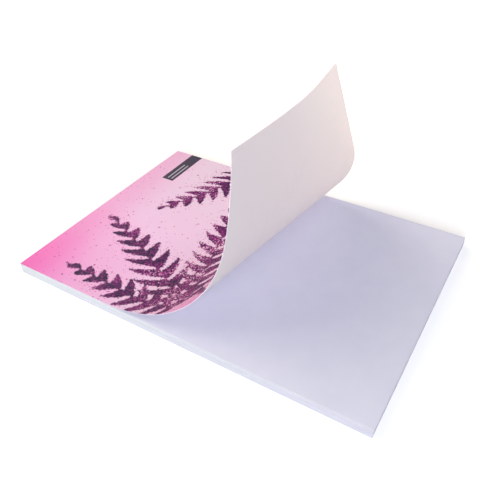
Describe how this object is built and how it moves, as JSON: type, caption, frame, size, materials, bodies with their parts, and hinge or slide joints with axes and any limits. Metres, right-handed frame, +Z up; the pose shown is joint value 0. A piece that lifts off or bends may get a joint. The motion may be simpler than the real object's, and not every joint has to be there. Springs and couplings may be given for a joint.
{
  "type": "writing pad",
  "caption": "Glued writing pad: a stack of plain leaves on a backing board, its printed cover sheet curled up and back from the foot.",
  "frame": {"origin": "centre of the leaves' outline, on the surface that the pad lies on", "axes": "+Y from the foot to the glued head, +Z up from the board to the leaves, +X from the near long side to the far one"},
  "size_m": [0.2195, 0.2974, 0.1564],
  "materials": {
    "board": "matt grey board",
    "leaves": "smooth uncoated paper",
    "cover": "printed on one side with a light sheen",
    "glue": "thin clear-white film"
  },
  "bodies": {
    "root": {"backing_board": "board", "page_block": "leaves", "cover_sheet": "cover", "glue_strip": "glue"}
  },
  "joints": []
}
